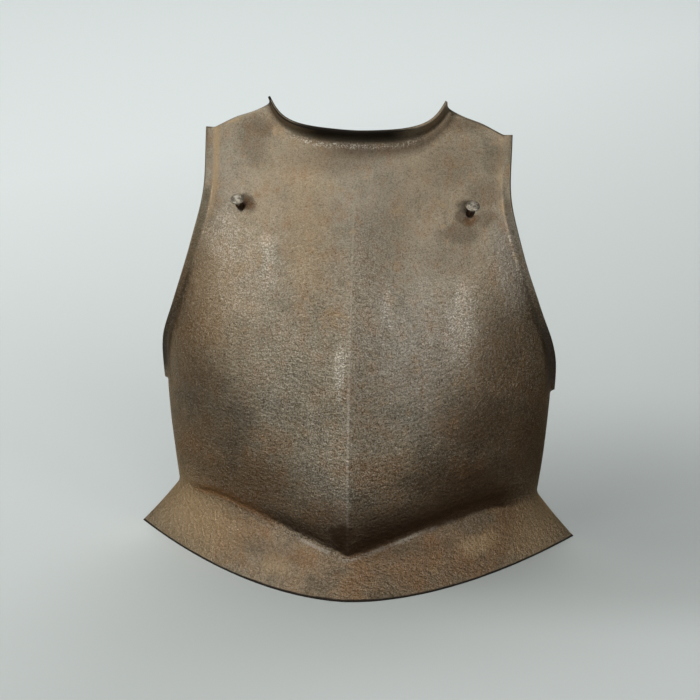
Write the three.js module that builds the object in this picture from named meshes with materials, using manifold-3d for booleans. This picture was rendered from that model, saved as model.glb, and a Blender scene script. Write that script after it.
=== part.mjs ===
// Steel breastplate of about 1600: one forged plate with turned edges, and the two
// mushroom-headed studs that the shoulder straps hook on to.
// Millimetres, +Z up. The front faces -Y and +X is the wearer's left. The plate stands on
// the flat rim of its waist flange, and the origin is the bottom centre of the whole.
import * as THREE from "three";
import { mergeVertices } from "three/addons/utils/BufferGeometryUtils.js";
import Module from "manifold-3d";

const wasm = await Module();
wasm.setup();

// ---- driving dimensions ----
const THICKNESS = 2.2;
const CLEARANCE = 0.3; // free space round a stud's shank in its hole
const TAIL_CLEARANCE = 0.7; // free space between a stud's flat tail and the curved plate

// Horizontal sections of the plate: reach is how far the middle ridge stands forward of the
// side edges, and keel is how far the section goes from a half ellipse (0) to a wedge (1).
const SECTIONS = [
  { height: -20, reach: 107, halfWidth: 150, keel: 0.5 },
  { height: 30, reach: 121.5, halfWidth: 161.5, keel: 0.5 },
  { height: 75, reach: 131.5, halfWidth: 167.5, keel: 0.42 },
  { height: 120, reach: 132.8, halfWidth: 171.5, keel: 0.36 },
  { height: 165, reach: 128.7, halfWidth: 173, keel: 0.31 },
  { height: 210, reach: 120.4, halfWidth: 170.5, keel: 0.25 },
  { height: 280, reach: 101, halfWidth: 164.5, keel: 0.165 },
  { height: 340, reach: 77.6, halfWidth: 156.5, keel: 0.06 },
  { height: 390, reach: 48.3, halfWidth: 147.5, keel: 0 },
  { height: 440, reach: 13, halfWidth: 137, keel: 0 },
];

// The ridge is drawn up into a narrow crest that fades out below the neck.
const CREST = { lift: 1.6, spread: 16, fadeFrom: 300, fadeTo: 372 };

// Waist crease, from the ridge (0 degrees round the section) to the side edge (90).
const WAIST_CREASE = [
  { turn: 0, height: 28.5 },
  { turn: 9, height: 36 },
  { turn: 20, height: 45 },
  { turn: 33, height: 54.5 },
  { turn: 44, height: 58.5 },
  { turn: 60, height: 53 },
  { turn: 90, height: 42 },
];

// Armhole root, from the armpit, where the side edge ends, up to the shoulder.
const ARMHOLE = [
  { height: 140, turn: 90 },
  { height: 180, turn: 81.5 },
  { height: 215, turn: 69.2 },
  { height: 255, turn: 60.8 },
  { height: 300, turn: 54.9 },
  { height: 340, turn: 52.4 },
  { height: 389.5, turn: 57.5 },
];

// Neck root and shoulder edge in front view: across from the middle, height.
const NECK = [
  [0, 384.3],
  [18, 384.7],
  [40, 386],
  [55, 388.6],
  [67, 393.6],
  [75.4, 401.2],
  [80.8, 410],
];
const SHOULDER = [
  [80.8, 410],
  [91, 405.2],
  [106, 399.8],
];

// Turned edges: bend out of the plate, radius of the fold, and width.
const NECK_FLANGE = { fold: 6, middle: { bend: 72, width: 16 }, end: { bend: 82, width: 22.5 } };
const ARM_FLANGE = { fold: 5, bend: 60, armpitWidth: 6.5, fullWidth: 9.2, shoulderWidth: 7.5 };
const ARM_FLANGE_FULL_FROM = 0.28; // share of the way from the armpit to the shoulder
const RIM = { halfWidth: 198.5, reach: 154, endReach: 3, roundness: 1.8 };
const WAIST_HOLLOW = 1; // how far the waist flange is dished between crease and rim

const STUD = { across: 98.3, height: 329.6, elevation: 64, outward: 15, bendFrom: 0.5, bendTo: 7 };
const SHANK_RADIUS = 3;
const INNER_FACE = -THICKNESS - TAIL_CLEARANCE;
// Stud from the peened tail behind the plate to the worn flat on its head.
const STUD_PROFILE = [
  { along: INNER_FACE - 1.9, radius: 2.8 },
  { along: INNER_FACE - 1.3, radius: 4.2 },
  { along: INNER_FACE - 0.4, radius: 4.6 },
  { along: INNER_FACE, radius: 4.3 },
  { along: INNER_FACE, radius: SHANK_RADIUS },
  { along: 0.5, radius: SHANK_RADIUS },
  { along: 2.5, radius: SHANK_RADIUS },
  { along: 4.5, radius: SHANK_RADIUS },
  { along: 6.5, radius: SHANK_RADIUS },
  { along: 8.5, radius: SHANK_RADIUS },
  { along: 11, radius: 3.3 },
  { along: 11.8, radius: 5.6 },
  { along: 12.5, radius: 6.3 },
  { along: 13.4, radius: 6.1 },
  { along: 14.4, radius: 4.9 },
  { along: 15, radius: 3.6 },
  { along: 15.2, radius: 2.5 },
];

// ---- mesh density ----
const HALF_COLUMNS = 22;
const NECK_COLUMNS = 14; // columns from the ridge to the end of the neck
const ROWS = 28;
const ARMPIT_ROW = 10;
const STUD_SEGMENTS = 20;
const END_TIGHTENING = 0.5; // 0 gives even rows, 1 packs them at both ends

// ---- small helpers ----
const radians = THREE.MathUtils.degToRad;
const lerp = THREE.MathUtils.lerp;

// Smooth curve through a table's rows: returns a function from column `from` to the others.
function tableCurve(rows, from, columns) {
  const positions = rows.map((row) => row[from]);
  const values = rows.flatMap((row) => columns.map((name) => row[name]));
  const curve = new THREE.CubicInterpolant(positions, values, columns.length, new Array(columns.length));
  return (at) => {
    const found = curve.evaluate(at);
    return Object.fromEntries(columns.map((name, index) => [name, found[index]]));
  };
}

// Shares from 0 to 1, closer together at both ends.
function tightenedShare(index, count) {
  const share = index / count;
  return share - (END_TIGHTENING * Math.sin(2 * Math.PI * share)) / (2 * Math.PI);
}

// ---- the curved surface of the chest ----
const sectionAt = tableCurve(SECTIONS, "height", ["reach", "halfWidth", "keel"]);
const creaseAt = tableCurve(WAIST_CREASE, "turn", ["height"]);
const armholeAt = tableCurve(ARMHOLE, "height", ["turn"]);

// Point of the outer face: turn is the angle round the section, negative on the right side.
function chestPoint(turn, height) {
  const section = sectionAt(height);
  const across = section.halfWidth * Math.sin(radians(turn));
  const ellipse = Math.cos(radians(turn));
  const wedge = 1 - Math.abs(Math.sin(radians(turn)));
  const fade = 1 - THREE.MathUtils.smoothstep(height, CREST.fadeFrom, CREST.fadeTo);
  const crest = CREST.lift * fade * Math.exp(-Math.abs(across) / CREST.spread);
  const forward = section.reach * lerp(ellipse, wedge, section.keel) + crest;
  return new THREE.Vector3(across, -forward, height);
}

function turnAt(across, height) {
  return THREE.MathUtils.radToDeg(Math.asin(across / sectionAt(height).halfWidth));
}

function chestNormal(turn, height) {
  const step = 0.5;
  const round = chestPoint(turn + step, height).sub(chestPoint(turn - step, height));
  const upward = chestPoint(turn, height + step).sub(chestPoint(turn, height - step));
  return round.cross(upward).normalize();
}

// Borders of one half of the chest, each as (turn, height) for a share from 0 to 1.
const armhole = { bottom: ARMHOLE[0], top: ARMHOLE.at(-1) };
const shoulderCorner = chestPoint(armhole.top.turn, armhole.top.height);
const neckCurve = new THREE.SplineCurve(NECK.map(([x, z]) => new THREE.Vector2(x, z)));
const shoulderCurve = new THREE.SplineCurve(
  [...SHOULDER, [shoulderCorner.x, shoulderCorner.z]].map(([x, z]) => new THREE.Vector2(x, z)),
);
const neckShare = tightenedShare(NECK_COLUMNS, HALF_COLUMNS);
const armpitShare = tightenedShare(ARMPIT_ROW, ROWS);

function waistBorder(share) {
  const turn = 90 * share;
  return new THREE.Vector2(turn, creaseAt(turn).height);
}

function topBorder(share) {
  const point = share <= neckShare
    ? neckCurve.getPointAt(share / neckShare)
    : shoulderCurve.getPointAt((share - neckShare) / (1 - neckShare));
  return new THREE.Vector2(turnAt(point.x, point.y), point.y);
}

function ridgeBorder(share) {
  return new THREE.Vector2(0, lerp(WAIST_CREASE[0].height, NECK[0][1], share));
}

function sideBorder(share) {
  if (share <= armpitShare) {
    const height = lerp(WAIST_CREASE.at(-1).height, armhole.bottom.height, share / armpitShare);
    return new THREE.Vector2(90, height);
  }
  const along = (share - armpitShare) / (1 - armpitShare);
  const height = lerp(armhole.bottom.height, armhole.top.height, along);
  return new THREE.Vector2(armholeAt(height).turn, height);
}

// Fills the four borders evenly: the sum of both straight blends less the corners' blend.
function chestGrid(across, up) {
  const between = waistBorder(across).multiplyScalar(1 - up).addScaledVector(topBorder(across), up);
  const beside = ridgeBorder(up).multiplyScalar(1 - across).addScaledVector(sideBorder(up), across);
  const corners = waistBorder(0).multiplyScalar((1 - across) * (1 - up))
    .addScaledVector(waistBorder(1), across * (1 - up))
    .addScaledVector(topBorder(0), (1 - across) * up)
    .addScaledVector(topBorder(1), across * up);
  return between.add(beside).sub(corners);
}

// ---- a sheet of four-cornered facets, grown strip by strip ----
class Sheet {
  points = [];
  facets = [];

  addRow(points) {
    return points.map((point) => this.points.push(point) - 1);
  }

  // Joins two rows; seen from outside, `far` lies to the right of `near`.
  join(near, far) {
    for (let i = 0; i + 1 < near.length; i += 1) {
      this.facets.push([far[i], far[i + 1], near[i + 1], near[i]]);
    }
  }

  // Grows rows outwards from a border; rowAt gives the points of each further row.
  grow(border, shares, rowAt) {
    let near = border;
    for (const share of shares) {
      const far = this.addRow(rowAt(share));
      this.join(near, far);
      near = far;
    }
    return near;
  }

  normals() {
    const sums = this.points.map(() => new THREE.Vector3());
    for (const facet of this.facets) {
      const [a, b, c, d] = facet.map((index) => this.points[index]);
      const area = c.clone().sub(a).cross(d.clone().sub(b));
      facet.forEach((index) => sums[index].add(area));
    }
    return sums.map((sum) => sum.normalize());
  }
}

// Edge turned out of the plate: an arc of the fold's radius, then straight on.
function turnedPoint(root, sideways, normal, fold, bend, distance) {
  const angle = Math.min(distance / fold, radians(bend));
  const straight = distance - fold * angle;
  return root.clone()
    .addScaledVector(sideways, fold * Math.sin(angle) + straight * Math.cos(angle))
    .addScaledVector(normal, fold * (1 - Math.cos(angle)) + straight * Math.sin(angle));
}

// Grows a turned edge along a border of the chest, with a bend and a width for each point.
function growTurnedEdge(sheet, border, normals, fold, shapes) {
  const roots = border.map((index) => sheet.points[index].clone());
  const sideways = roots.map((root, i) => {
    const next = roots[Math.min(i + 1, roots.length - 1)];
    const last = roots[Math.max(i - 1, 0)];
    return next.clone().sub(last).cross(normals[border[i]]).normalize();
  });
  sheet.grow(border, [0.2, 0.42, 0.7, 1], (share) => roots.map((root, i) => (
    turnedPoint(root, sideways[i], normals[border[i]], fold, shapes[i].bend, shapes[i].width * share)
  )));
}

// Shape of the armhole's turned edge from the armpit (0) to the shoulder (1).
function armEdge(share) {
  const rise = THREE.MathUtils.smoothstep(share, 0, ARM_FLANGE_FULL_FROM);
  const fall = THREE.MathUtils.smoothstep(share, ARM_FLANGE_FULL_FROM, 1);
  const lower = lerp(ARM_FLANGE.armpitWidth, ARM_FLANGE.fullWidth, rise);
  const width = lower + (ARM_FLANGE.shoulderWidth - ARM_FLANGE.fullWidth) * fall;
  return { bend: ARM_FLANGE.bend, width };
}

// Shape of the neck's turned edge from the middle (0) to the horn at either end (1).
function neckEdge(share) {
  const { middle, end } = NECK_FLANGE;
  const blend = share ** 2;
  return { bend: lerp(middle.bend, end.bend, blend), width: lerp(middle.width, end.width, blend) };
}

function rimPoint(turn) {
  const side = Math.sin(radians(turn));
  const forward = RIM.endReach + (RIM.reach - RIM.endReach) * (1 - Math.abs(side) ** RIM.roundness);
  return new THREE.Vector3(RIM.halfWidth * side, -forward, 0);
}

// Outer face of the whole plate. Borders run counterclockwise as seen from the front.
function plateSheet() {
  const sheet = new Sheet();
  const columns = [];
  for (let i = -HALF_COLUMNS; i <= HALF_COLUMNS; i += 1) {
    columns.push(Math.sign(i) * tightenedShare(Math.abs(i), HALF_COLUMNS));
  }
  const rows = [];
  for (let j = 0; j <= ROWS; j += 1) {
    const up = tightenedShare(j, ROWS);
    rows.push(sheet.addRow(columns.map((column) => {
      const place = chestGrid(Math.abs(column), up);
      return chestPoint(Math.sign(column) * place.x, place.y);
    })));
    if (j > 0) {
      sheet.join(rows[j], rows[j - 1]);
    }
  }
  const normals = sheet.normals();

  const waist = rows[0];
  const roots = waist.map((index) => sheet.points[index].clone());
  const rim = sheet.grow(waist, [0.1, 0.3, 0.6, 0.86, 1], (share) => roots.map((root, i) => {
    const point = root.clone().lerp(rimPoint(90 * columns[i]), share);
    const dish = WAIST_HOLLOW * 4 * share * (1 - share);
    return point.addScaledVector(new THREE.Vector3(root.x, root.y, 0).normalize(), -dish);
  }));

  const first = HALF_COLUMNS - NECK_COLUMNS;
  const neck = rows[ROWS].slice(first, rows[ROWS].length - first).reverse();
  const neckShapes = neck.map((_, i) => neckEdge(Math.abs(i - NECK_COLUMNS) / NECK_COLUMNS));
  growTurnedEdge(sheet, neck, normals, NECK_FLANGE.fold, neckShapes);

  const left = rows.slice(ARMPIT_ROW).map((row) => row.at(-1));
  const armShapes = left.map((_, i) => armEdge(i / (left.length - 1)));
  growTurnedEdge(sheet, left, normals, ARM_FLANGE.fold, armShapes);
  const right = rows.slice(ARMPIT_ROW).map((row) => row[0]).reverse();
  growTurnedEdge(sheet, right, normals, ARM_FLANGE.fold, armShapes.toReversed());
  return { sheet, rim };
}

// Gives the sheet its thickness: an inner face, and a wall round every free edge.
function thickened(sheet, rim) {
  const count = sheet.points.length;
  const onRim = new Set(rim);
  const inner = sheet.normals().map((normal, index) => {
    const point = sheet.points[index].clone();
    if (!onRim.has(index)) {
      return point.addScaledVector(normal, -THICKNESS);
    }
    // The rim is dressed flat, so its inner edge is level with its outer edge.
    const level = new THREE.Vector3(normal.x, normal.y, 0);
    return point.addScaledVector(level, -THICKNESS / level.lengthSq());
  });
  const edges = new Set();
  for (const facet of sheet.facets) {
    facet.forEach((from, i) => edges.add(`${from} ${facet[(i + 1) % 4]}`));
  }
  const triangles = [];
  const addFacet = (a, b, c, d) => triangles.push(a, b, c, a, c, d);
  for (const facet of sheet.facets) {
    addFacet(...facet);
    addFacet(...facet.toReversed().map((index) => index + count));
    facet.forEach((from, i) => {
      const to = facet[(i + 1) % 4];
      if (!edges.has(`${to} ${from}`)) {
        addFacet(to, from, from + count, to + count);
      }
    });
  }
  return meshGeometry([...sheet.points, ...inner], triangles);
}

function meshGeometry(points, triangles) {
  const geometry = new THREE.BufferGeometry().setFromPoints(points);
  geometry.setIndex(triangles);
  return geometry;
}

// ---- joining and cutting ----
function toSolid(geometry) {
  const bare = geometry.clone();
  bare.deleteAttribute("normal");
  bare.deleteAttribute("uv");
  const merged = mergeVertices(bare);
  const vertProperties = new Float32Array(merged.attributes.position.array);
  const triVerts = new Uint32Array(merged.index.array);
  return new wasm.Manifold(new wasm.Mesh({ numProp: 3, vertProperties, triVerts }));
}

function fromSolid(solid) {
  const mesh = solid.getMesh();
  const geometry = new THREE.BufferGeometry();
  geometry.setAttribute("position", new THREE.BufferAttribute(mesh.vertProperties, 3));
  geometry.setIndex(new THREE.BufferAttribute(mesh.triVerts, 1));
  return geometry;
}

// ---- the studs ----
// Where a stud stands, its plate's normal there, and the way it leans: up and outwards.
function studPlace(side) {
  const turn = side * turnAt(STUD.across, STUD.height);
  const axis = new THREE.Vector3(
    side * Math.sin(radians(STUD.outward)) * Math.cos(radians(STUD.elevation)),
    -Math.cos(radians(STUD.outward)) * Math.cos(radians(STUD.elevation)),
    Math.sin(radians(STUD.elevation)),
  );
  return { base: chestPoint(turn, STUD.height), normal: chestNormal(turn, STUD.height), axis };
}

// Middle line of a stud: square to the plate, then an even bend, then straight on.
function studLine(place, along) {
  const lean = place.normal.angleTo(place.axis);
  const sideways = place.axis.clone().addScaledVector(place.normal, -Math.cos(lean)).normalize();
  const length = STUD.bendTo - STUD.bendFrom;
  const share = THREE.MathUtils.clamp((along - STUD.bendFrom) / length, 0, 1);
  const angle = lean * share;
  const radius = length / lean;
  const direction = place.normal.clone().multiplyScalar(Math.cos(angle))
    .addScaledVector(sideways, Math.sin(angle));
  const straight = along < STUD.bendFrom ? along - STUD.bendFrom : Math.max(along - STUD.bendTo, 0);
  const point = place.base.clone()
    .addScaledVector(place.normal, STUD.bendFrom + radius * Math.sin(angle))
    .addScaledVector(sideways, radius * (1 - Math.cos(angle)))
    .addScaledVector(direction, straight);
  return { point, direction };
}

function studGeometry(place) {
  const points = [];
  const triangles = [];
  const across = place.normal.clone().cross(place.axis).normalize();
  for (const { along, radius } of STUD_PROFILE) {
    const { point, direction } = studLine(place, along);
    const upward = across.clone().cross(direction);
    for (let k = 0; k < STUD_SEGMENTS; k += 1) {
      const angle = (2 * Math.PI * k) / STUD_SEGMENTS;
      points.push(point.clone()
        .addScaledVector(across, radius * Math.cos(angle))
        .addScaledVector(upward, radius * Math.sin(angle)));
    }
  }
  const last = STUD_PROFILE.length - 1;
  for (let ring = 0; ring < last; ring += 1) {
    for (let k = 0; k < STUD_SEGMENTS; k += 1) {
      const a = ring * STUD_SEGMENTS + k;
      const b = ring * STUD_SEGMENTS + ((k + 1) % STUD_SEGMENTS);
      const c = b + STUD_SEGMENTS;
      const d = a + STUD_SEGMENTS;
      triangles.push(a, c, b, a, d, c);
    }
  }
  for (let k = 1; k + 1 < STUD_SEGMENTS; k += 1) {
    const top = last * STUD_SEGMENTS;
    triangles.push(0, k, k + 1, top, top + k + 1, top + k);
  }
  return meshGeometry(points, triangles);
}

function studHole(place) {
  const length = 12;
  const hole = new THREE.CylinderGeometry(SHANK_RADIUS + CLEARANCE, SHANK_RADIUS + CLEARANCE, length, 24);
  const turn = new THREE.Quaternion().setFromUnitVectors(new THREE.Vector3(0, 1, 0), place.normal);
  return toSolid(hole.applyQuaternion(turn).translate(place.base.x, place.base.y, place.base.z));
}

// ---- the pieces ----
function steel(color, roughness) {
  return new THREE.MeshStandardMaterial({ color, roughness, metalness: 0.9 });
}

function piece(name, geometry, material) {
  const mesh = new THREE.Mesh(geometry, material);
  mesh.name = name;
  return mesh;
}

const studs = [
  { name: "strap_stud_right", place: studPlace(-1) },
  { name: "strap_stud_left", place: studPlace(1) },
];

function plateGeometry() {
  const { sheet, rim } = plateSheet();
  let solid = toSolid(thickened(sheet, rim));
  for (const stud of studs) {
    solid = solid.subtract(studHole(stud.place));
  }
  return fromSolid(solid);
}

const breastplate = new THREE.Group();
breastplate.add(piece("breast_plate", plateGeometry(), steel(0x6b5a48, 0.45)));
for (const stud of studs) {
  breastplate.add(piece(stud.name, studGeometry(stud.place), steel(0x4a4540, 0.5)));
}
const box = new THREE.Box3().setFromObject(breastplate);
breastplate.position.set(0, -(box.min.y + box.max.y) / 2, -box.min.z);

export default breastplate;
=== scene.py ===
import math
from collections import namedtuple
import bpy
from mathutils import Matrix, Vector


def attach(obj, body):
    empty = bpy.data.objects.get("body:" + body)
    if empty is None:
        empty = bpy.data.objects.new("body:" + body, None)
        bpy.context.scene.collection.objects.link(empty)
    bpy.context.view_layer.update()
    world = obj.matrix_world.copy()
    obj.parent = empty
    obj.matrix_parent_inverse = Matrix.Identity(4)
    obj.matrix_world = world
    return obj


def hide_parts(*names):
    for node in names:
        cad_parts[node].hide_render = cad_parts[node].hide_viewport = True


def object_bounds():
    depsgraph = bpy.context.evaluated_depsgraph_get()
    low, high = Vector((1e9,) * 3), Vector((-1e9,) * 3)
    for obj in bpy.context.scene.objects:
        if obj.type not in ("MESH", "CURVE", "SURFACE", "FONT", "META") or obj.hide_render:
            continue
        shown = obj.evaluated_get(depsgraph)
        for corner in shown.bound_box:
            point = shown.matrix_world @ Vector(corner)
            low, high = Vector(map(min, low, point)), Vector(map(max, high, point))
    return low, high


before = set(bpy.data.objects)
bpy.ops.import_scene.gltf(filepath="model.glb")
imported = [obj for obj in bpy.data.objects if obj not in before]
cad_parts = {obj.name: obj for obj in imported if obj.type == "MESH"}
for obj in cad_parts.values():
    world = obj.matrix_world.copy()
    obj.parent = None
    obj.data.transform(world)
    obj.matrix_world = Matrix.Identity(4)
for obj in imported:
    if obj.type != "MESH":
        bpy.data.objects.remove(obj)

# %% [markdown]
# # A forged steel breastplate
# This lesson dresses a packed CAD model of a breastplate: one plate of steel with turned edges,
# and two studs that the shoulder straps hook on to. The CAD gives every size. We add what CAD
# leaves out: the hammered, pitted, brown-patinated skin, the worn ridge and the light. First we
# keep the box that the CAD model fills, because the camera and the lamps are placed from it.

# %% The frame's box
from types import SimpleNamespace

import bmesh
import bpy
import numpy as np
from mathutils import Matrix, Vector, noise

cad_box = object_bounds()
LOW, HIGH = (Vector(corner) for corner in cad_box)
MIDDLE = (LOW + HIGH) / 2
MM = 0.001
print("CAD box", [round(value, 4) for value in HIGH - LOW])

# %% [markdown]
# ## The camera
# A long lens from two and a half metres away looks down on the plate a little, from slightly to
# the wearer's left. A long lens keeps the shoulders and the waist in their true proportions.
# A constraint could aim the camera, but then its roll would be hard to set. So its three axes
# are worked out from two angles, and turned by a small roll.

# %% Camera
CAMERA_ELEVATION = math.radians(22)
CAMERA_AZIMUTH = math.radians(4.05)
CAMERA_ROLL = math.radians(0.4)
CAMERA_DISTANCE = 2.49
LENS = 146.6
SENSOR_WIDTH = 36
AIM = MIDDLE + Vector((-3.4, 7.8, -10.4)) * MM


def direction_at(azimuth, elevation):
    """The direction from the plate at two angles. Level and straight in front, both are 0."""
    return Vector((
        math.sin(azimuth) * math.cos(elevation),
        -math.cos(azimuth) * math.cos(elevation),
        math.sin(elevation),
    ))


def add_camera():
    towards_camera = direction_at(CAMERA_AZIMUTH, CAMERA_ELEVATION)
    right = Vector((math.cos(CAMERA_AZIMUTH), math.sin(CAMERA_AZIMUTH), 0))
    up = towards_camera.cross(right)
    axes = Matrix((right, up, towards_camera)).transposed() @ Matrix.Rotation(CAMERA_ROLL, 3, "Z")
    camera = bpy.data.objects.new("camera", bpy.data.cameras.new("camera"))
    camera.data.lens = LENS
    camera.data.sensor_width = SENSOR_WIDTH
    camera.matrix_world = Matrix.Translation(AIM + towards_camera * CAMERA_DISTANCE) @ axes.to_4x4()
    bpy.context.collection.objects.link(camera)
    bpy.context.scene.camera = camera
    return camera


camera = add_camera()
print("camera stands at", [round(value, 3) for value in camera.matrix_world.translation])

# %% [markdown]
# ## Node recipes
# A material is a graph of nodes, which is mostly laid out by hand. The skin of this plate has
# over thirty layers, and sums are easier to read than so large a graph. So one small class wraps
# a socket: `wire * 2 + 1` adds two Math nodes. Every other node comes from its `node` method.
# A mask is a number from 0 to 1, and says where a mark is and how strong. Most masks here are
# soft steps over a length, so steps have a short form with their limits in millimetres.

# %% Wires


class Wire:
    """A socket of a node tree, on which numbers are reckoned as in ordinary Python."""

    def __init__(self, tree, socket=None):
        self.tree = tree
        self.socket = socket

    def node(self, kind, settings=None, inputs=None, out=0):
        made = self.tree.nodes.new(kind)
        for name, value in (settings or {}).items():
            setattr(made, name, value)
        for name, value in (inputs or {}).items():
            if isinstance(value, Wire):
                self.tree.links.new(made.inputs[name], value.socket)
            else:
                made.inputs[name].default_value = value
        return Wire(self.tree, made.outputs[out])

    def maths(self, operation, *values, clamp=False):
        settings = {"operation": operation, "use_clamp": clamp}
        return self.node("ShaderNodeMath", settings, dict(enumerate(values)))

    def __add__(self, other):
        return self.maths("ADD", self, other)

    def __sub__(self, other):
        return self.maths("SUBTRACT", self, other)

    def __rsub__(self, other):
        return self.maths("SUBTRACT", other, self)

    def __mul__(self, other):
        return self.maths("MULTIPLY", self, other)

    def __truediv__(self, other):
        return self.maths("DIVIDE", self, other)

    def __abs__(self):
        return self.maths("ABSOLUTE", self)

    __radd__ = __add__
    __rmul__ = __mul__

    def power(self, exponent):
        return self.maths("POWER", self, exponent)

    def larger(self, other):
        return self.maths("MAXIMUM", self, other)

    def clamped(self):
        return self.maths("ADD", self, 0.0, clamp=True)

    def hypot(self, other):
        """The distance of a point that lies this far off one way and other off the other way."""
        return (self * self + other * other).power(0.5)

    def swing(self, size):
        """A noise, which lies about 0.5, made to swing about 0 over a size."""
        return (self - 0.5) * size

    def step_up(self, low, high):
        """0 below low, 1 above high, and a smooth rise between."""
        settings = {"interpolation_type": "SMOOTHSTEP"}
        inputs = {"Value": self, "From Min": low, "From Max": high}
        return self.node("ShaderNodeMapRange", settings, inputs)

    def step_down(self, low, high):
        return 1 - self.step_up(low, high)

    def rise_mm(self, low, high):
        return self.step_up(low * MM, high * MM)

    def fall_mm(self, low, high):
        return self.step_down(low * MM, high * MM)

    def band_mm(self, begins, full, fades, ends):
        """1 from full to fades, and 0 before it begins and after it ends."""
        return self.rise_mm(begins, full) * self.fall_mm(fades, ends)

    def part(self, index):
        """One of the three numbers of a vector or a color."""
        return self.node("ShaderNodeSeparateXYZ", inputs={0: self}, out=index)

    def blend(self, first, second, share):
        """The first color, turned into the second by the share."""
        inputs = {0: share, 6: first, 7: second}
        return self.node("ShaderNodeMix", {"data_type": "RGBA"}, inputs, out=2)

    def covered(self, color, share):
        """The color of this wire under a layer of another that covers a share of it."""
        return self.blend(self, color, share)


print("recipes", ", ".join(name for name in vars(Wire) if not name.startswith("_")))

# %% [markdown]
# ## A material from wires
# A new material has one shader, with a socket for its color, its gloss and so on. We could link
# each socket by hand. One helper takes them all by name, and links a wire or sets a plain number.
# Marks are placed by where a point is on the plate, in metres, so that comes next.

# %% Material and place


def new_material(name):
    material = bpy.data.materials.new(name)
    material.use_nodes = True
    return material, Wire(material.node_tree)


def feed(material, **wires):
    """Links wires, or sets plain values, on the shader's sockets."""
    tree = material.node_tree
    for name, value in wires.items():
        socket = tree.nodes["Principled BSDF"].inputs[name.replace("_", " ")]
        if isinstance(value, Wire):
            tree.links.new(socket, value.socket)
        else:
            socket.default_value = value


def object_place(wire):
    """The point's place in metres, whole and as across, back and up."""
    place = wire.node("ShaderNodeTexCoord", out=3)
    return place, [place.part(index) for index in range(3)]


print("materials so far", len(bpy.data.materials))

# %% [markdown]
# ## The floor
# The plate stands on one sheet of paper that sweeps up behind it, so no line shows where the
# floor ends. Steel mirrors the paper in front of it, so the paper's tone is part of the light:
# pale behind the plate and under it, and a dark table further towards the viewer. Lamps alone
# could make these tones, but they would light the steel as well. One soft shade lies on the
# right behind the flange, where the plate keeps the light off.

# %% Floor
FLOOR_HALF_WIDTH = 6.0
FLOOR_FRONT = -5.0
SWEEP_START = 2.2
SWEEP_RADIUS = 1.5
SWEEP_STEPS = 16
SWEEP_TOP = 5.0
PAPER_ROUGHNESS = 0.75
PAPER_NEAR = (0.32, 0.345, 0.335, 1)
PAPER_FAR = (0.56, 0.60, 0.595, 1)
PAPER_SHADED = (0.13, 0.145, 0.14, 1)
TABLE_TONE = (0.07, 0.07, 0.065, 1)
# How pale the paper is at the plate, what each metre adds, and what is added in front.
PALE = {"start": 0.28, "back": 0.5, "left": 0.42, "front": 0.35}
SHADE = {"across": 0.28, "back": 0.12, "wide": 0.2, "deep": 0.24, "strength": 0.4}


def floor_paper():
    material, wire = new_material("floor_paper")
    _, (across, back, _) = object_place(wire)
    in_front = back.step_down(-0.14, -0.02) * across.step_up(-0.2, 0.1)
    pale = back * PALE["back"] - across * PALE["left"] + PALE["start"] + in_front * PALE["front"]
    off_across = (across - SHADE["across"]) / SHADE["wide"]
    off_back = (back - SHADE["back"]) / SHADE["deep"]
    shade = off_across.hypot(off_back).step_down(0.1, 1.4) * SHADE["strength"]
    tone = wire.blend(PAPER_NEAR, PAPER_FAR, pale.clamped()).covered(PAPER_SHADED, shade)
    tone = tone.covered(TABLE_TONE, back.step_down(-1.0, -0.4))
    feed(material, Base_Color=tone, Roughness=PAPER_ROUGHNESS)
    return material


def add_floor():
    profile = [(FLOOR_FRONT, 0.0), (SWEEP_START, 0.0)]
    for index in range(1, SWEEP_STEPS + 1):
        angle = index / SWEEP_STEPS * math.pi / 2
        rise = SWEEP_RADIUS * (1 - math.cos(angle))
        profile.append((SWEEP_START + SWEEP_RADIUS * math.sin(angle), rise))
    profile.append((SWEEP_START + SWEEP_RADIUS, SWEEP_TOP))
    corners = []
    for back, up in profile:
        corners += [(-FLOOR_HALF_WIDTH, back, up), (FLOOR_HALF_WIDTH, back, up)]
    faces = [(2 * i, 2 * i + 1, 2 * i + 3, 2 * i + 2) for i in range(len(profile) - 1)]
    mesh = bpy.data.meshes.new("floor")
    mesh.from_pydata(corners, [], faces)
    mesh.shade_smooth()
    floor = bpy.data.objects.new("floor", mesh)
    bpy.context.collection.objects.link(floor)
    mesh.materials.append(floor_paper())
    return floor


floor = add_floor()
print("floor strips", len(floor.data.polygons))

# %% [markdown]
# ## The light
# Steel is seen mostly by what it mirrors. Point lamps would leave small hard glints on it, so
# soft boxes do the lighting: large flat lamps whose mirror images are broad and soft. The key
# hangs high on the left. A front one and a low one fill the chest, and three stand low at the
# sides, where each gives a flank its band of light. The last one hangs over the paper behind the
# plate and makes the background pale.

# %% Lights
LAMP_COLOR = (1.0, 0.99, 0.97)
SKY_COLOR, SKY_STRENGTH = (0.93, 0.97, 1.0, 1), 0.1
SOFT_BOXES = [
    dict(name="front", azimuth=8, elevation=42, size=(1.6, 1.0), watts=12),
    dict(name="key", azimuth=-52, elevation=60, size=(1.8, 1.4), watts=36),
    dict(name="low", azimuth=12, elevation=20, size=(1.6, 0.6), watts=11.5),
    dict(name="left", azimuth=-46, elevation=12, size=(0.8, 1.0), watts=20,
         color=(1.0, 0.98, 0.96)),
    dict(name="right", azimuth=50, elevation=10, size=(0.8, 1.0), watts=23,
         color=(1.0, 0.99, 0.98)),
    dict(name="far_left", azimuth=-85, elevation=12, size=(0.8, 1.2), watts=7,
         color=(1.0, 0.98, 0.95), distance=2.4),
    dict(name="behind", azimuth=0, elevation=90, size=(3.4, 1.6), watts=62,
         color=(1.0, 1.0, 1.0), distance=2.4, aim=Vector((-0.3, 1.7, 0))),
]


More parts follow.
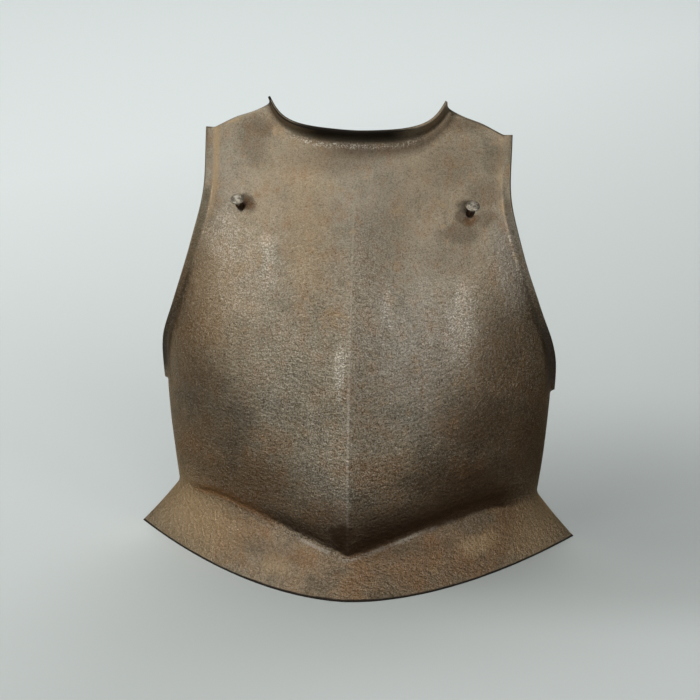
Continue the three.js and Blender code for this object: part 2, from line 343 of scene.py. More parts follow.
def add_soft_box(name, azimuth, elevation, size, watts, color=LAMP_COLOR, distance=2.6, aim=MIDDLE):
    """A flat lamp that faces its aim from an azimuth and an elevation in degrees."""
    direction = direction_at(math.radians(azimuth), math.radians(elevation))
    light = bpy.data.lights.new(f"soft_box_{name}", "AREA")
    light.shape = "RECTANGLE"
    light.size, light.size_y = size
    light.energy = watts
    light.color = color
    lamp = bpy.data.objects.new(f"soft_box_{name}", light)
    lamp.location = aim + direction * distance
    lamp.rotation_euler = direction.to_track_quat("Z", "Y").to_euler()
    bpy.context.collection.objects.link(lamp)


def add_sky():
    world = bpy.data.worlds.new("studio")
    world.use_nodes = True
    background = world.node_tree.nodes["Background"]
    background.inputs["Color"].default_value = SKY_COLOR
    background.inputs["Strength"].default_value = SKY_STRENGTH
    bpy.context.scene.world = world


for soft_box in SOFT_BOXES:
    add_soft_box(**soft_box)
add_sky()
bpy.context.scene.view_settings.view_transform = "Standard"
print("soft boxes", len(SOFT_BOXES), "watts", sum(box["watts"] for box in SOFT_BOXES))

# %% [markdown]
# ## Fine copies of the CAD solids
# The real plate curves smoothly, and the CAD plate has flat facets about 12 mm wide. We could
# model a finer plate, but a copy of the CAD one is sure to keep its sizes. Its triangle pairs are
# turned back into four-cornered facets, because a subdivision surface rounds those evenly.

# %% Fine copy of a CAD node
ROUNDING_LEVELS = 2
SAME_POINT = 1e-6
PAIR_FACE_ANGLE = math.radians(35)
PAIR_SHAPE_ANGLE = math.radians(60)


def quad_copy(node, name):
    """Copies a CAD node's mesh with its triangles joined into four-cornered facets."""
    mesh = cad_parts[node].data.copy()
    mesh.name = name
    work = bmesh.new()
    work.from_mesh(mesh)
    bmesh.ops.remove_doubles(work, verts=work.verts, dist=SAME_POINT)
    bmesh.ops.join_triangles(
        work, faces=work.faces, angle_face_threshold=PAIR_FACE_ANGLE,
        angle_shape_threshold=PAIR_SHAPE_ANGLE, cmp_seam=False, cmp_sharp=False,
        cmp_uvs=False, cmp_vcols=False, cmp_materials=False,
    )
    return mesh, work


def weight_creases(work, weight_of):
    """Gives each edge its crease weight, and counts the edges that have one."""
    layers = work.edges.layers.float
    layer = layers.get("crease_edge") or layers.new("crease_edge")
    for edge in work.edges:
        edge[layer] = weight_of(edge)
    return sum(edge[layer] > 0 for edge in work.edges)


def rounded_piece(mesh, work, name):
    """Rounds the copy with a subdivision surface and keeps the rounded mesh."""
    work.to_mesh(mesh)
    work.free()
    piece = bpy.data.objects.new(name, mesh)
    bpy.context.collection.objects.link(piece)
    rounder = piece.modifiers.new("rounder", "SUBSURF")
    rounder.levels = rounder.render_levels = ROUNDING_LEVELS
    rounder.use_limit_surface = False
    graph = bpy.context.evaluated_depsgraph_get()
    piece.data = bpy.data.meshes.new_from_object(piece.evaluated_get(graph))
    piece.modifiers.clear()
    piece.data.name = name
    piece.data.shade_smooth()
    return piece


print("CAD nodes", sorted(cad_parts))

# %% [markdown]
# ## The plate's fine skin
# Rounding would melt the plate's free edges and its middle ridge, which are crisp on the real
# one. Extra loops of facets could hold them. A crease weight on the edges does the same without
# more facets. The ridge has one only below its top, because it starts flat under the neck.

# %% Fine plate
FREE_EDGE_CREASE = 0.75
FREE_EDGE_ANGLE = math.radians(60)
RIDGE_CREASE = 0.9
RIDGE_ANGLE = math.radians(0.8)
RIDGE_TOP = 345 * MM
ON_MIDDLE_LINE = 0.2 * MM


def on_ridge_line(vertex):
    return abs(vertex.co.x) < ON_MIDDLE_LINE and vertex.co.z < RIDGE_TOP


def plate_crease(edge):
    if len(edge.link_faces) < 2:
        return 1.0
    angle = edge.calc_face_angle()
    if angle > FREE_EDGE_ANGLE:
        return FREE_EDGE_CREASE
    return RIDGE_CREASE if angle > RIDGE_ANGLE and all(map(on_ridge_line, edge.verts)) else 0.0


mesh, work = quad_copy("breast_plate", "plate_skin")
quads = sum(len(face.verts) == 4 for face in work.faces)
print("facets", len(work.faces), "with four corners", quads)
print("creased edges", weight_creases(work, plate_crease))
plate = rounded_piece(mesh, work, "plate_skin")
print("fine plate facets", len(plate.data.polygons))

# %% [markdown]
# ## Hammer marks
# A forged plate is never quite true: the hammer leaves low swells all over it, which make the
# mirrored lamps waver. A bump in the material would fake that only in the light. Real swells
# show at the edges too, so noise moves each point of the fine skin along its normal by a
# fraction of a millimetre. The rim that rests on the floor stays level.

# %% Low swells
SWELLS = [
    {"size": 55 * MM, "height": 0.45 * MM},
    {"size": 24 * MM, "height": 0.16 * MM},
]
LEVEL_BELOW = 2 * MM
SWELLS_GROW_OVER = 12 * MM


def swell_skin(piece):
    mesh = piece.data
    normals = [vertex.normal.copy() for vertex in mesh.vertices]
    for vertex, normal in zip(mesh.vertices, normals):
        lift = sum(swell["height"] * noise.noise(vertex.co / swell["size"]) for swell in SWELLS)
        rise = min(1.0, max(0.0, (vertex.co.z - LEVEL_BELOW) / SWELLS_GROW_OVER))
        vertex.co += normal * lift * rise
    mesh.update()


swell_skin(plate)
print("swollen points", len(plate.data.vertices))

# %% [markdown]
# ## Crests and folds
# Rubbing brightens what stands proud, such as the turned edges, and the folds are painted
# darker with shade and some dirt. How sharply the skin bends at each point tells the two apart.
# A shader can find the bend only while it renders, and differently in each program, so we
# measure it once on the mesh and spread it to the neighbours.

# %% Bend of the skin
FOLD_FULL = 60
CREST_FULL = 160
CREST_START = 0.1


def places_and_normals(mesh):
    places, normals = np.empty(len(mesh.vertices) * 3), np.empty(len(mesh.vertices) * 3)
    mesh.vertices.foreach_get("co", places)
    mesh.vertices.foreach_get("normal", normals)
    return places.reshape(-1, 3), normals.reshape(-1, 3)


def bend_of_skin(mesh, places, normals):
    """Mean curvature at each point, per metre: above 0 in a fold, below 0 on a crest."""
    ends = np.empty(len(mesh.edges) * 2, dtype=int)
    mesh.edges.foreach_get("vertices", ends)
    first, second = ends[::2], ends[1::2]
    run = places[second] - places[first]
    length = (run ** 2).sum(1)
    bend = np.zeros(len(places))
    np.add.at(bend, first, (normals[first] * run).sum(1) * 2 / length)
    np.add.at(bend, second, -(normals[second] * run).sum(1) * 2 / length)
    touching = np.bincount(ends, minlength=len(places))
    return bend / touching, first, second, touching


def spread(values, first, second, touching, times):
    """Averages each value with its neighbours', so many times over."""
    for _ in range(times):
        around = np.zeros_like(values)
        np.add.at(around, first, values[second])
        np.add.at(around, second, values[first])
        values = (values + around / touching) / 2
    return values


places, normals = places_and_normals(plate.data)
bend, *links = bend_of_skin(plate.data, places, normals)
fold = spread(np.clip(bend / FOLD_FULL, 0, 1), *links, times=3)
crest = spread(np.clip(-bend / CREST_FULL - CREST_START, 0, 1), *links, times=1)
print("deepest fold", round(float(fold.max()), 3), "sharpest crest", round(float(crest.max()), 3))

# %% [markdown]
# ## The plate's own lines
# Other marks follow the armhole edges and the creased waist, and some lie on the outer face
# alone. Painting them by hand would tie them to one mesh. Python can find the lines themselves:
# each point learns how far it is from the side edge and from the crease. These measures are
# kept on the mesh as attributes, which the material reads.

# %% Lines of the plate
WEARER_BACK = 0.15
SLICE = 3 * MM
CREASE_STEP = 4 * MM
CREASE_END = 166 * MM
CREASE_BELOW = 70 * MM
CREASE_FOLD = 0.3


def side_gap(places):
    """How far each point is inside the plate's side edge at the same height, in metres."""
    heights = np.arange(0, HIGH.z, SLICE)
    across = np.abs(places[:, 0])
    reach = np.array([across[np.abs(places[:, 2] - z) < SLICE].max(initial=0) for z in heights])
    return np.interp(places[:, 2], heights, reach) - across


def above_crease(places, fold):
    """Height of each point over the waist crease straight below or above it, in metres."""
    stations = np.arange(CREASE_STEP, CREASE_END, CREASE_STEP)
    across = np.abs(places[:, 0])
    folded = (places[:, 2] < CREASE_BELOW) & (fold > CREASE_FOLD)
    crease = []
    for station in stations:
        near = folded & (np.abs(across - station) < SLICE)
        crease.append(np.average(places[near, 2], weights=fold[near] ** 4))
    return places[:, 2] - np.interp(across, stations, crease)


def outer_side(places, normals):
    """1 where the skin faces away from the wearer's body, 0 on the hidden inner face."""
    away = normals[:, 0] * places[:, 0] + normals[:, 1] * (places[:, 1] - WEARER_BACK)
    return (away > 0).astype(float)


def keep_on_mesh(mesh, name, values):
    layer = mesh.attributes.new(name, "FLOAT", "POINT")
    layer.data.foreach_set("value", values.astype(np.float32))
    print(name, "mean", round(float(values.mean()), 4), "most", round(float(values.max()), 3))


MEASURES = {
    "outer": outer_side(places, normals), "fold": fold, "crest": crest,
    "side_gap": side_gap(places), "above_crease": above_crease(places, fold),
}
for name, values in MEASURES.items():
    keep_on_mesh(plate.data, name, values)

# %% [markdown]
# ## Stains, rust, rubbed places and painted light
# Old steel kept as it was found is never evenly brown. Soot, red and ochre rust, cool grey metal
# and rubbed bare spots each have their places on this plate. Painted shade lies with the soot,
# and painted highlights lie with the bare spots. Noise alone would scatter them anywhere, so a
# table keeps them: across and up from the rim, half width and half height, all in millimetres,
# and a strength.

# %% Table of stains
Stain = namedtuple("Stain", "across up wide tall strength")
STAINS = {
    "soot": [
        # Soot, and painted shade under the neck edge and on the shoulders.
        Stain(-85, 394, 16, 9, 0.42), Stain(-90, 381, 13, 16, 0.28), Stain(94, 400, 16, 6, 0.35),
        Stain(116, 372, 10, 14, 0.3), Stain(80, 366, 26, 18, 0.25), Stain(-14, 373, 40, 10, 0.35),
        # Painted shadows round the studs, and darker spots on the upper chest.
        Stain(-91, 331, 6, 5, 0.3), Stain(92, 328, 8, 6, 0.6), Stain(112, 323, 10, 8, 0.4),
        Stain(90, 314, 20, 11, 0.45), Stain(108, 344, 16, 14, 0.35), Stain(60, 340, 50, 26, 0.15),
        Stain(30, 330, 26, 60, 0.2), Stain(82, 296, 26, 16, 0.25),
        # Painted shade on the flanks and the belly, darkest in the point of the waist.
        Stain(128, 198, 20, 44, 0.4), Stain(118, 134, 42, 38, 0.7), Stain(156, 102, 50, 62, 0.68),
        Stain(108, 86, 60, 34, 0.85), Stain(-130, 150, 26, 40, 0.5), Stain(-106, 135, 22, 44, 0.45),
        Stain(-85, 84, 50, 30, 0.45), Stain(60, 64, 60, 22, 0.6), Stain(14, 58, 60, 28, 0.6),
        Stain(-4, 49, 13, 14, 0.9),
        # Painted shade on the flange.
        Stain(-95, 50, 34, 9, 0.35), Stain(45, 33, 50, 9, 0.6), Stain(-60, 26, 40, 8, 0.35),
        Stain(50, 14, 90, 26, 0.25),
    ],
    "red": [
        Stain(140, 150, 56, 110, 0.8), Stain(80, 92, 70, 36, 0.9), Stain(112, 64, 54, 26, 1.0),
        Stain(-130, 86, 60, 40, 1.0), Stain(-145, 225, 30, 60, 0.9), Stain(-45, 60, 60, 30, 0.6),
        Stain(105, 30, 70, 36, 0.9), Stain(20, 14, 90, 26, 0.7), Stain(-100, 36, 50, 20, 0.6),
    ],
    "ochre": [
        # The two large ones at the flange's ends are partly ochre and partly painted light, where
        # the lamps leave the ends dim.
        Stain(-160, 34, 44, 30, 1.0), Stain(116, 27, 15, 8, 0.6), Stain(-40, 312, 16, 50, 0.22),
        Stain(-116, 250, 30, 60, 0.25), Stain(-64, 17, 11, 7, 0.35), Stain(172, 26, 28, 28, 0.75),
    ],
    "cool": [
        Stain(60, 220, 48, 70, 0.9), Stain(14, 345, 24, 40, 0.5), Stain(138, 300, 22, 40, 0.9),
        Stain(-112, 352, 20, 26, 0.5), Stain(-160, 130, 20, 60, 0.4),
    ],
    "rust": [
        Stain(-94, 333, 6, 5, 0.6), Stain(99, 324, 5, 4, 0.6), Stain(-105, 66, 30, 8, 0.35),
    ],
    # Rubbed bare spots, most of them also painted highlights of the lamps.
    "bare": [
        Stain(-8, 201, 4.5, 19, 1.0), Stain(8, 270, 20, 60, 0.12), Stain(31, 256, 6, 18, 0.5),
        Stain(94, 234, 12, 30, 0.65), Stain(70, 220, 40, 34, 0.15), Stain(140, 275, 14, 34, 0.35),
        Stain(-112, 300, 18, 22, 0.5), Stain(-74, 280, 10, 24, 0.55), Stain(-95, 260, 30, 40, 0.3),
        Stain(-60, 200, 40, 40, 0.2), Stain(-20, 120, 20, 60, 0.25), Stain(-6, 86, 9, 26, 0.4),
        Stain(-172, 22, 24, 18, 0.2),
    ],
}
print("stains", {kind: len(rows) for kind, rows in STAINS.items()})

# %% [markdown]
# Each stain is a soft ellipse, and noise makes its border ragged. A painted image would hold more
# detail, but this stays sharp at any size. Where stains of a kind meet, the strongest one counts,
# so two faint ones don't add up to a dark one.

# %% Mask of one kind of stain
FULLY_SOFT_WIDTH = 50
SHARPEST_FADE, SOFTEST_FADE = 0.5, 0.9
RAGGED_LOST_WHEN_SOFT = 0.65


def stain_mask(kind, at, ragged):
    """The strongest of one kind of stain at each point. Small stains have the raggeder edges."""
    total = None
    for stain in STAINS[kind]:
        off_across = (at.across - stain.across * MM) / (stain.wide * MM)
        off_up = (at.up - stain.up * MM) / (stain.tall * MM)
        soft = min(1.0, stain.wide / FULLY_SOFT_WIDTH)
        fade = SHARPEST_FADE + (SOFTEST_FADE - SHARPEST_FADE) * soft
        border = off_across.hypot(off_up) + ragged * (1 - RAGGED_LOST_WHEN_SOFT * soft)
        mask = border.step_down(1 - fade, 1 + fade) * stain.strength
        total = mask if total is None else total.larger(mask)
    return total


print("smallest stain", min(stain.wide for rows in STAINS.values() for stain in rows), "mm")

# %% [markdown]
# ## Noises of the skin
# The patina runs from hand-sized clouds to grains of a millimetre. One noise with much detail
# would look the same everywhere, so there is one for each size, in repeats per metre. Stretching
# its place makes streaks that run down the plate, and wrinkles that run across it like the skin
# of leather.

# %% Noises
NOISES = {
    "clouds": dict(per_metre=11, detail=4, roughness=0.6),
    "blotches": dict(per_metre=24, detail=3, roughness=0.6, stretch=(1, 1, 1.2)),
    "patches": dict(per_metre=38, detail=5, roughness=0.65),
    "streaks": dict(per_metre=70, detail=4, roughness=0.6, stretch=(1.25, 1, 0.65)),
    "blots": dict(per_metre=105, detail=4, roughness=0.6, stretch=(1.1, 1, 0.9)),
    "wrinkles": dict(per_metre=290, detail=3, roughness=0.55, stretch=(0.8, 0.85, 1.15)),
    "leather": dict(per_metre=540, detail=3, roughness=0.7, stretch=(0.95, 0.95, 1.05)),
    "grain": dict(per_metre=950, detail=1, roughness=0.5, stretch=(0.9, 0.95, 1.1)),
}
SPECKS = {"per_metre": 170, "radius": 0.12, "share": 0.3}


def noise_at(place, per_metre, detail, roughness, stretch=None):
    if stretch:
        place = place.node("ShaderNodeMapping", inputs={"Vector": place, "Scale": stretch})
    inputs = {"Vector": place, "Scale": per_metre, "Detail": detail, "Roughness": roughness}
    return place.node("ShaderNodeTexNoise", inputs=inputs)


def specks_at(place, per_metre, radius, share):
    """Round specks in a random share of the cells of a Voronoi pattern."""
    inputs = {"Vector": place, "Scale": per_metre}
    distance = place.node("ShaderNodeTexVoronoi", inputs=inputs)
    chance = place.node("ShaderNodeTexVoronoi", inputs=inputs, out=1).part(0)
    return distance.step_down(radius * 0.5, radius) * chance.step_down(share * 0.7, share)


def skin_noises(place):
    noises = SimpleNamespace(**{name: noise_at(place, **row) for name, row in NOISES.items()})
    noises.speckle = noises.grain.swing(2.0) + noises.leather.swing(1.2)
    noises.glints = noises.speckle.step_up(-0.1, 0.6)
    noises.specks = specks_at(place, **SPECKS)
    noises.ragged = noises.patches.swing(2.2) + noises.blots.swing(1.4)
    return noises


print("noises", ", ".join(NOISES))

# %% [markdown]
# ## Where a point is
# Every mark needs the same few facts of a point: how far across and up it is, which half it is
# on, how high over the neck's fold or the waist crease. We could work them out again in each
# mark. One bundle of wires, called `at`, keeps them together and the marks short.

# %% Place on the plate
# Root line of the neck's turned edge: its lowest height, and its rise towards the horns.
NECK_ROOT = {"low": 386.5 * MM, "rise": 27 * MM, "half_width": 82 * MM, "bow": 4}


def plate_place(wire):
    """The facts of a point. side is its distance from the middle, left the viewer's left half."""
    place, (across, _, up) = object_place(wire)
    kept = {
        name: wire.node("ShaderNodeAttribute", {"attribute_name": name}, out=2) for name in MEASURES
    }
    side = abs(across)
    neck_rise = (side / NECK_ROOT["half_width"]).power(NECK_ROOT["bow"]) * NECK_ROOT["rise"]
    return SimpleNamespace(
        place=place, across=across, up=up, side=side, left=across.fall_mm(-20, 20),
        over_neck=up - NECK_ROOT["low"] - neck_rise,
        on_flange=kept["above_crease"].fall_mm(-8, -2), **kept,
    )


print("neck root from", round(NECK_ROOT["low"] / MM, 1), "mm up")

# %% [markdown]
# ## Marks of the neck
# The neck's edge is turned out. Its underside and the face of its edge are painted black as
# shade, with a painted shade below it and a line of rubbed specks along its root, shown as
# painted glints. A mark could be a stain of its own, but these follow a line: each is a
# soft band over one distance, held to its part of the plate by other steps. All their lengths
# are in millimetres.

# %% Marks of the neck


def neck_marks(at):
    on_neck = at.side.fall_mm(88, 94)
    middle = (at.across + at.left * (5 * MM)).fall_mm(26, 58) * at.side.fall_mm(30, 62)
    shade = at.over_neck.band_mm(-15, -5, 1, 6) * on_neck * at.across.rise_mm(-50, 0)
    folded = at.fold * on_neck * at.up.rise_mm(365, 380) * (0.6 - at.left * 0.35)
    # Rubbed specks under the neck's root, shown as painted glints.
    specks = at.over_neck.band_mm(-6, -3, -2, 1) * at.side.fall_mm(40, 66)
    # The face of the neck's edge, painted black as shade.
    edge = at.crest.step_up(0.02, 0.1) * on_neck * at.over_neck.rise_mm(4, 7)
    return SimpleNamespace(
        # The underside of the turned neck edge, painted black as shade.
        lip_shade=at.over_neck.rise_mm(-2, 4) * on_neck * (0.06 + middle * 0.89),
        shade=(shade + folded).clamped(),
        specks=specks * (0.35 + at.left * 0.35),
        edge=edge * (0.3 + at.across.fall_mm(35, 60) * 0.7),
    )


near_root = np.abs(places[:, 2] - NECK_ROOT["low"]) < 6 * MM
print("points near the neck's root", int(near_root.sum()))

# %% [markdown]
# ## Marks of the arm edges
# The turned armhole edges are painted dark as shade, most of all low down where they face away
# from the lamps, with a darker root and, near the shoulder, a paler line beside it. They curve,
# so a height or a width can't find them. The gap to the plate's side edge can, and bands over
# that gap follow the curve.

# %% Marks of the arm edges


def arm_marks(at):
    on_arm = at.up.band_mm(140, 160, 396, 402)
    return SimpleNamespace(
        # The turned edge, painted dark as shade, darkest low down.
        edge=(at.side_gap + at.left * (1.5 * MM)).fall_mm(5, 9) * on_arm,
        root=at.side_gap.band_mm(4, 6.5, 8, 11) * on_arm * at.up.fall_mm(250, 285),
        line=at.side_gap.band_mm(6, 9, 10, 15) * on_arm * at.up.rise_mm(290, 350),
    )


print("points near a side edge", int((MEASURES["side_gap"] < 9 * MM).sum()))

# %% [markdown]
# ## Marks of the waist
# Above the waist crease the plate is painted dark: a dark belly over it, the shade of its undercut
# with some dirt, darkest in the seam on the right; a rusty line on the left, and a line on the
# flange side of its point where it was rubbed. The lamps make some of that shade, and the painted
# dark adds to it. The height over the crease gives every band.

# %% Marks of the waist


def waist_marks(at):
    height = at.above_crease
    on_waist = at.side.fall_mm(128, 160)
    reach = 53 * MM - at.side * 0.2 - at.left * (18 * MM)
    belly = height.rise_mm(at.left * 2 - 3, at.left * 2) * height.step_down(4 * MM, reach)
    belly = belly * on_waist * (1 - at.left * at.side.rise_mm(60, 100) * 0.85)
    belly = belly * (1 - at.side.fall_mm(3, 22) * height.rise_mm(10, 20) * 0.5)
    seam = height.rise_mm(at.left * 5 - 7, at.left * 5 - 3) * height.fall_mm(1, 6)
    seam = seam * on_waist * at.side.rise_mm(50, 80)
    rubbed = height.band_mm(-5.5, -4, -3, -1.5) * abs(at.across - 20 * MM).fall_mm(50, 75)
    return SimpleNamespace(
        # The belly and seam over the crease, painted dark as the shade of the undercut, with some
        # dirt.
        dirt_and_shade=(belly * (0.95 - at.left * 0.25)).larger(seam * (0.96 - at.left * 0.4)),
        rust=height.band_mm(-6, 0, 2, 9) * on_waist * at.across.fall_mm(-90, -50),
        rubbed=rubbed * at.side.fall_mm(90, 150),
    )


print("points near the crease", int((np.abs(MEASURES["above_crease"]) < 6 * MM).sum()))

# %% [markdown]
# ## Marks of the ridge and the edges
# The ridge is rubbed pale along its line, with a field on its right painted darker as shade. The
# flanks are painted darker than the chest as shade, more on the right, and so is the side edge
# below the right armhole. The rim that stands on the floor is painted black as shade. Most of
# these borders would look ruled, so noise is added to the distance before the step is taken.

# %% Marks of the ridge and the edges


def ridge_marks(at, noises):
    on_ridge = at.up.fall_mm(325, 345) * at.above_crease.rise_mm(0, 12)
    line = (at.side + noises.blots.swing(2 * MM)).fall_mm(0.7, 1.6)
    return SimpleNamespace(
        line=line * on_ridge * at.up.fall_mm(170, 220),
        # The side of the ridge turned away from the key lamp, painted darker as shade.
        right=at.across.band_mm(0.3, 1.2, 6, 50) * on_ridge,
    )


def edge_marks(at, noises):
    # The flanks, painted darker as shade where they turn away from the lamps.
    flank_shade = (at.side + noises.patches.swing(60 * MM)).rise_mm(118, 168)
    # The side edge below the right armhole, painted darker as shade.
    far_edge_shade = at.side_gap.fall_mm(2, 9) * at.up.fall_mm(150, 165) * (1 - at.left)
    return SimpleNamespace(
        flank_shade=flank_shade * at.up.fall_mm(240, 310) * at.above_crease.rise_mm(-6, 4),
        far=far_edge_shade * at.above_crease.rise_mm(5, 25),
        # The rim on the floor, painted black as the shade at its foot.
        rim_shade=(at.up + noises.patches.swing(1.5 * MM)).fall_mm(1.2, 2),
    )


print("points on the rim", int((places[:, 2] < 2 * MM).sum()))

# %% [markdown]
# ## Colors of old steel
# Brown steel is thin oxide over metal that is still half bright. A metal mirrors in its base
# color, so these tones look darker here than on the finished plate. They could be picked anew in
# each layer. A fixed set of twelve keeps the layers of one family.

# %% Colors
TAN = (0.242, 0.198, 0.136, 1)
OLIVE = (0.178, 0.156, 0.113, 1)
RED_BROWN = (0.155, 0.092, 0.042, 1)
COOL_GREY = (0.226, 0.208, 0.173, 1)
OCHRE = (0.350, 0.240, 0.128, 1)
DARK_BROWN = (0.026, 0.014, 0.007, 1)
OLIVE_BLACK = (0.062, 0.056, 0.040, 1)
# The black of soot, and of painted shade on the neck's underside and the armhole edges.
SOOT_AND_SHADE_BLACK = (0.014, 0.012, 0.009, 1)
RUST_BROWN = (0.200, 0.090, 0.030, 1)
# Worn steel, and also the grey of painted glints.
WORN_AND_GLINT_GREY = (0.400, 0.370, 0.320, 1)
# Bare steel, and also the color of painted highlights and glints.
BARE_STEEL_AND_HIGHLIGHT = (0.620, 0.590, 0.520, 1)
# Painted shade: the black of the rim's foot and of the neck's edge face.
EDGE_SHADE_BLACK = (0.004, 0.004, 0.004, 1)
print("from the darkest", EDGE_SHADE_BLACK[:3], "to the brightest", BARE_STEEL_AND_HIGHLIGHT[:3])

# %% [markdown]
# ## Layers of oxide and grain
# The color is built in layers, oldest first. Thin oxide comes first, with cool, red, ochre
# and rusty fields in it. Then come fields painted darker as shade, and the grain over them: pits,
# the painted glints between them and bare rubbed places that also carry painted highlights. One
# large mixing formula could do it all, but a list of layers, each a color and a mask that says
# how much it covers, can be read and reordered.

# %% Layers of oxide and grain


def oxide_layers(at, noises, stains, pitted):
    lower = at.up.fall_mm(120, 240)
    return [
        (COOL_GREY, stains["cool"] * 0.8),
        (RED_BROWN, (stains["red"] * 0.85 + noises.patches.swing(0.8)).clamped()),
        (RED_BROWN, noises.blots.step_up(0.5, 0.68) * 0.35 * pitted),
        (OCHRE, (noises.patches + noises.blots - 1).step_up(0.08, 0.3) * 0.3),
        (RUST_BROWN, noises.streaks.step_up(0.5, 0.68) * 0.25),
        (OLIVE_BLACK, noises.streaks.step_down(0.32, 0.48) * 0.22),
        (RUST_BROWN, noises.blotches.step_up(0.5, 0.62) * lower * 0.3),
        (OLIVE_BLACK, noises.blotches.step_down(0.38, 0.5) * lower * 0.45),
        (OCHRE, stains["ochre"]),
        (RUST_BROWN, stains["rust"]),
    ]


def grain_layers(at, noises, stains, pitted, ridge, edges):
    return [
        # The field right of the ridge, painted darker as shade.
        (DARK_BROWN, ridge.right * 0.2),
        # Painted shade on the flanks, more on the right, and on the right side edge.
        (DARK_BROWN, edges.flank_shade * (0.52 - at.left * 0.32)),
        (DARK_BROWN, edges.far * 0.5),
        (DARK_BROWN, noises.speckle.step_down(-0.65, 0.05) * 0.8 * pitted),
        # Painted glints between the pits.
        (WORN_AND_GLINT_GREY, noises.glints * 0.48 * pitted),
        (OCHRE, noises.specks * 0.8 * pitted),
        # Bare rubbed steel, with painted highlights.
        (BARE_STEEL_AND_HIGHLIGHT, stains["bare"] * at.outer * (0.12 + noises.glints * 0.8)),
        (WORN_AND_GLINT_GREY, ridge.line * at.outer * 0.15),
    ]


print("kinds of stain in these layers", [kind for kind in STAINS if kind != "soot"])

# %% [markdown]
# ## Layers along the lines, and the last dark ones
# Over the grain lie the edges painted dark as shade, rust, painted shade and some dirt in the
# folds, rubbed crests, and rubbed specks with painted glints under the neck. They could be stains
# too, but here their masks are the lines found above. Soot and painted shade are the youngest and
# cover all of these. The hidden inner face is a little darker all over, because it was never
# polished. The rim and the neck's edge come last, painted black as shade, and nothing covers
# their black.

# %% Layers along the lines


def line_layers(at, noises, neck, arm, waist):
    low_on_arm = at.up.fall_mm(180, 280)
    return [
        (OCHRE, arm.line * (0.2 + at.left * 0.3)),
        # The armhole edges painted dark as shade, darkest low down, and their darker root.
        (SOOT_AND_SHADE_BLACK, arm.edge * (0.14 - at.left * 0.09 + low_on_arm * 0.74)),
        (SOOT_AND_SHADE_BLACK, arm.root * (0.65 - at.left * 0.1)),
        (WORN_AND_GLINT_GREY, at.crest * (1 - neck.lip_shade) * (1 - arm.edge) * 0.3),
        (RUST_BROWN, waist.rust * at.outer * 0.7),
        # Painted shade with some dirt over the waist crease.
        (DARK_BROWN, waist.dirt_and_shade),
        (WORN_AND_GLINT_GREY, waist.rubbed * noises.patches.step_up(0.35, 0.6) * at.outer * 0.5),
        (DARK_BROWN, neck.shade * 0.6),
        # Rubbed specks under the neck, painted as bright glints.
        (BARE_STEEL_AND_HIGHLIGHT, neck.specks * noises.glints),
    ]


def last_layers(at, stains, neck, edges):
    return [
        # Soot, with painted shade and the studs' painted shadows.
        (DARK_BROWN, stains["soot"] * (1 - at.on_flange * 0.35)),
        (DARK_BROWN, at.on_flange * at.side.fall_mm(80, 130) * 0.1),
        # The neck's turned edge, its underside painted black as shade.
        (SOOT_AND_SHADE_BLACK, neck.lip_shade * (0.82 + at.over_neck.rise_mm(2, 8) * 0.18)),
        (DARK_BROWN, (1 - at.outer) * 0.35),
        # The rim and the neck's edge face, painted black as shade.
        (EDGE_SHADE_BLACK, (edges.rim_shade + neck.edge).clamped() * 0.95),
    ]


# These stains hold soot and painted shade.
print("soot stains among the last layers", len(STAINS["soot"]))

# %% [markdown]
# ## Brown pitted steel
# The shader is a metal with a bronzed tint. Its relief could be real displacement, but grains
# of a millimetre would need millions of facets, so it is a bump: wrinkles with finer leather on
# them, strong on the rough belly and faint on the chest, which was polished. Soot and painted
# shade, rust, and the edges painted black as shade are duller and less metallic than the rest.

# %% Steel
METALLIC, DULL_METALLIC = 0.86, 0.36
RELIEF_DEPTH = 1.75 * MM
BRONZED_TINT = (0.60, 0.47, 0.35, 1)


def steel_color(wire, at, noises, stains, neck, arm, edges):
    pitted = at.up.fall_mm(220, 360) * 0.4 + at.up.fall_mm(100, 260) * 0.35 + 0.5
    pitted = pitted * (1 - at.on_flange * 0.45)
    layers = oxide_layers(at, noises, stains, pitted)
    layers += grain_layers(at, noises, stains, pitted, ridge_marks(at, noises), edges)
    layers += line_layers(at, noises, neck, arm, waist_marks(at))
    layers += last_layers(at, stains, neck, edges)
    oxide = (noises.clouds.swing(1.6) + noises.patches.swing(1.6)).step_up(-0.4, 0.5)
    color = wire.blend(TAN, OLIVE, oxide)
    for layer_color, share in layers:
        color = color.covered(layer_color, share)
    print("layers of color", len(layers))
    return color


def steel_relief(wire, at, noises, chest):
    strong = 1 - chest * 0.84 - at.on_flange * 0.25
    height = (noises.wrinkles + noises.leather * 0.7) * strong
    inputs = {"Height": height, "Distance": RELIEF_DEPTH, "Strength": 1.0}
    return wire.node("ShaderNodeBump", inputs=inputs)


def steel_roughness(noises, stains, chest, dull):
    roughness = 0.31 + chest * 0.14 + noises.blots * 0.06 + dull * 0.4
    return roughness + stains["soot"] * 0.15 + stains["rust"] * 0.25 - stains["bare"] * 0.05


def brown_steel():
    material, wire = new_material("brown_steel")
    at = plate_place(wire)
    noises = skin_noises(at.place)
    stains = {kind: stain_mask(kind, at, noises.ragged) for kind in STAINS}
    neck, arm, edges = neck_marks(at), arm_marks(at), edge_marks(at, noises)
    chest = at.up.rise_mm(140, 340)
    # The rim, the neck's edge and the low arm edges are painted black as shade, and made rough and
    # less metallic so they mirror little.
    dull = (edges.rim_shade + neck.edge + arm.edge * at.up.fall_mm(195, 300)).clamped()
    feed(
        material, Base_Color=steel_color(wire, at, noises, stains, neck, arm, edges),
        Roughness=steel_roughness(noises, stains, chest, dull),
        Metallic=METALLIC - dull * (METALLIC - DULL_METALLIC),
        Normal=steel_relief(wire, at, noises, chest), Specular_Tint=BRONZED_TINT,
    )
    return material


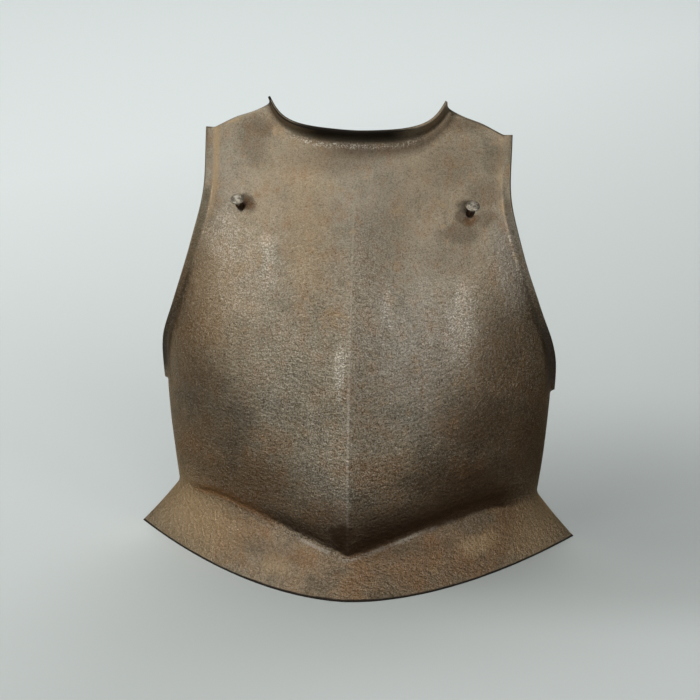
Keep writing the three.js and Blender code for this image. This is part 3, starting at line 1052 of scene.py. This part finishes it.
steel = brown_steel()
plate.data.materials.clear()
plate.data.materials.append(steel)
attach(plate, "root")
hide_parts("breast_plate")
print("nodes in the steel", len(steel.node_tree.nodes))

# %% [markdown]
# ## The studs' iron
# Straps rubbed the studs' heads to a worn grey, and the stems under them stayed dark and rusty.
# Two materials could split a stud, but then the border would follow its facets. In one material,
# a single height divides head and stem, and noise makes the border uneven.

# %% Iron
STUD_COLLAR = 334 * MM
STEM_DARK, STEM_RUST = (0.020, 0.010, 0.005, 1), (0.120, 0.045, 0.014, 1)
HEAD_DARK, HEAD_WORN = (0.100, 0.085, 0.065, 1), (0.330, 0.300, 0.240, 1)
IRON_ROUGHNESS, IRON_METALLIC = 0.42, 0.8
IRON_RELIEF_DEPTH = 0.5 * MM


def stud_iron():
    material, wire = new_material("stud_iron")
    place, (_, _, up) = object_place(wire)
    mottle = noise_at(place, per_metre=420, detail=3, roughness=0.6)
    stem = wire.blend(STEM_DARK, STEM_RUST, mottle.step_up(0.5, 0.7))
    worn = wire.blend(HEAD_DARK, HEAD_WORN, mottle.step_up(0.35, 0.65))
    on_head = (up + mottle.swing(4 * MM)).step_up(STUD_COLLAR - 1 * MM, STUD_COLLAR + 3 * MM)
    relief = {"Height": mottle, "Distance": IRON_RELIEF_DEPTH}
    feed(
        material, Base_Color=stem.covered(worn, on_head), Roughness=IRON_ROUGHNESS,
        Metallic=IRON_METALLIC, Normal=wire.node("ShaderNodeBump", inputs=relief),
    )
    return material


iron = stud_iron()
print("nodes in the iron", len(iron.node_tree.nodes))

# %% [markdown]
# ## The strap studs
# Each stud is one forged piece, riveted through the plate. A new turned shape would be easy, but
# its fine copy comes from its CAD node as the plate's did, so it fits its hole. The rim of the
# head is worn, so its crease weight is lower than that of the plate's edges.

# %% Studs
STUD_EDGE_CREASE = 0.5
STUD_EDGE_ANGLE = math.radians(50)


def stud_crease(edge):
    return STUD_EDGE_CREASE if edge.calc_face_angle() > STUD_EDGE_ANGLE else 0.0


def fine_stud(side):
    mesh, work = quad_copy(f"strap_stud_{side}", f"stud_{side}")
    print("creased edges on the stud", side, weight_creases(work, stud_crease))
    stud = rounded_piece(mesh, work, f"stud_{side}")
    stud.data.materials.clear()
    stud.data.materials.append(iron)
    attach(stud, "root")
    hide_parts(f"strap_stud_{side}")
    return stud


studs = [fine_stud(side) for side in ("left", "right")]
print("fine stud facets", [len(stud.data.polygons) for stud in studs])

# %% [markdown]
# ## The finished scene
# Last, the view layer is brought up to date.

# %% Finish
bpy.context.view_layer.update()
